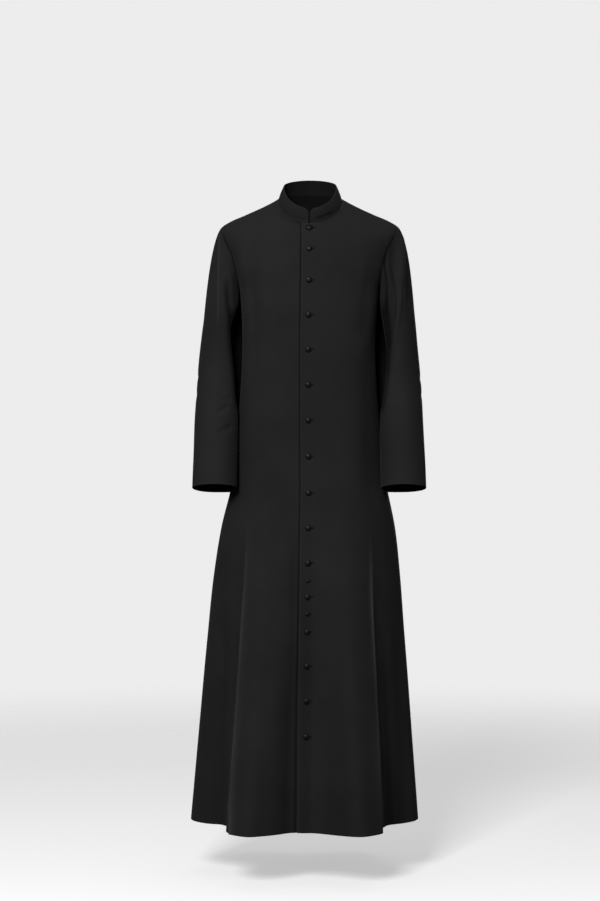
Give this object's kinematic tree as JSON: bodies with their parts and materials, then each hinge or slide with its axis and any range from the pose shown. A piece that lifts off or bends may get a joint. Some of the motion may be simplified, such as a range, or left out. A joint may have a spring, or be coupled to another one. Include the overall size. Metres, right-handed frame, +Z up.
{
  "type": "cassock",
  "caption": "Black ankle-length cassock with a standing collar, long sleeves and covered buttons down the front, hanging as it is worn.",
  "frame": {"origin": "the middle of the neck opening, level with the neck seam at the sides of the neck", "axes": "+Z up towards the wearer's head, -Y the way the buttoned front faces, +X towards the wearer's left"},
  "size_m": [0.5372, 0.5361, 1.4772],
  "materials": {
    "cloth": "matte black wool twill",
    "buttons": "matte black, covered in the same cloth"
  },
  "bodies": {
    "root": {"front_left": "cloth", "front_right": "cloth", "back": "cloth", "sleeve_left": "cloth", "sleeve_right": "cloth", "collar": "cloth", "button_01": "buttons", "button_02": "buttons", "button_03": "buttons", "button_04": "buttons", "button_05": "buttons", "button_06": "buttons", "button_07": "buttons", "button_08": "buttons", "button_09": "buttons", "button_10": "buttons", "button_11": "buttons", "button_12": "buttons", "button_13": "buttons", "button_14": "buttons", "button_15": "buttons", "button_16": "buttons", "button_17": "buttons", "button_18": "buttons"}
  },
  "joints": []
}
